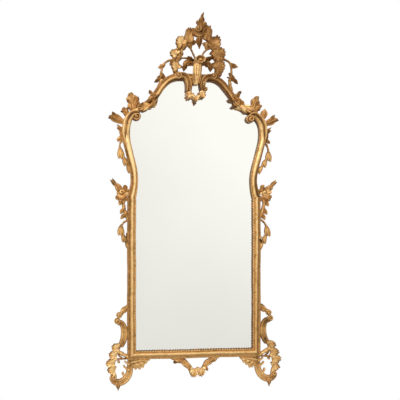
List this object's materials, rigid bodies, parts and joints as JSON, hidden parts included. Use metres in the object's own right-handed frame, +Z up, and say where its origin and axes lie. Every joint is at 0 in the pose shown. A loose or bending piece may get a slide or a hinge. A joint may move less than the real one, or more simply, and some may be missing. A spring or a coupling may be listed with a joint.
{
  "type": "giltwood mirror",
  "caption": "Tall giltwood wall mirror with shaped shoulders, pierced flower-vase crest, carved leaves, husks and scrolled feet, backed by boards and hung on hinged rings.",
  "frame": {"origin": "on the wall plane, at the rear face of the middle backing board, on the frame's centre line and half way up the overall height", "axes": "+X to the viewer's right, +Z up, +Y to the rear, into the wall"},
  "size_m": [0.7593, 0.0577, 1.6067],
  "materials": {
    "giltwood": "water gilding over red bole on carved limewood, rubbed and darkened in the hollows",
    "silvered_glass": "plain silvered plate, slightly greyed with age",
    "pine": "planed unpainted pine, browned",
    "beech": "turned and sawn beech",
    "steel": "dull zinc-plated steel"
  },
  "bodies": {
    "frame": {"apron_garland": "giltwood", "board_screws": "steel", "bottom_rail": "giltwood", "corner_splines": "beech", "crest_finial": "giltwood", "crest_pendant_leaf": "giltwood", "flower_vase": "giltwood", "frame_dowels": "beech", "hanger_screws": "steel", "left_arch_bud": "giltwood", "left_arch_leaves": "giltwood", "left_arch_rail": "giltwood", "left_crest_scroll": "giltwood", "left_crest_shells": "giltwood", "left_crest_stems": "giltwood", "left_foot_cusp": "giltwood", "left_foot_leaf": "giltwood", "left_foot_scroll": "giltwood", "left_foot_shells": "giltwood", "left_hanger_strap": "steel", "left_outer_leaves": "giltwood", "left_shoulder_leaf": "giltwood", "left_shoulder_rail": "giltwood", "left_shoulder_volute": "giltwood", "left_side_husks": "giltwood", "left_side_leaf": "giltwood", "left_spray": "giltwood", "left_stile": "giltwood", "left_upper_husks": "giltwood", "left_vase_leaf": "giltwood", "lower_backboard": "pine", "middle_backboard": "pine", "mirror_glass": "silvered_glass", "packing_blocks": "pine", "pendant_wreath": "giltwood", "right_arch_bud": "giltwood", "right_arch_leaves": "giltwood", "right_arch_rail": "giltwood", "right_crest_scroll": "giltwood", "right_crest_shells": "giltwood", "right_crest_stems": "giltwood", "right_foot_cusp": "giltwood", "right_foot_leaf": "giltwood", "right_foot_scroll": "giltwood", "right_foot_shells": "giltwood", "right_hanger_strap": "steel", "right_outer_leaves": "giltwood", "right_shoulder_leaf": "giltwood", "right_shoulder_rail": "giltwood", "right_shoulder_volute": "giltwood", "right_side_husks": "giltwood", "right_side_leaf": "giltwood", "right_spray": "giltwood", "right_stile": "giltwood", "right_upper_husks": "giltwood", "right_vase_leaf": "giltwood", "upper_backboard": "pine", "vase_blossom": "giltwood"},
    "left_ring": {"left_hanger_ring": "steel"},
    "right_ring": {"right_hanger_ring": "steel"}
  },
  "joints": [
    {"name": "left_ring_hinge", "type": "hinge", "parent": "frame", "child": "left_ring", "pos_m": [-0.27725, -0.003, -0.02046], "axis": [1, 0, 0], "range_deg": [0, 180]},
    {"name": "right_ring_hinge", "type": "hinge", "parent": "frame", "child": "right_ring", "pos_m": [0.27725, -0.003, -0.02046], "axis": [1, 0, 0], "range_deg": [0, 180]}
  ]
}
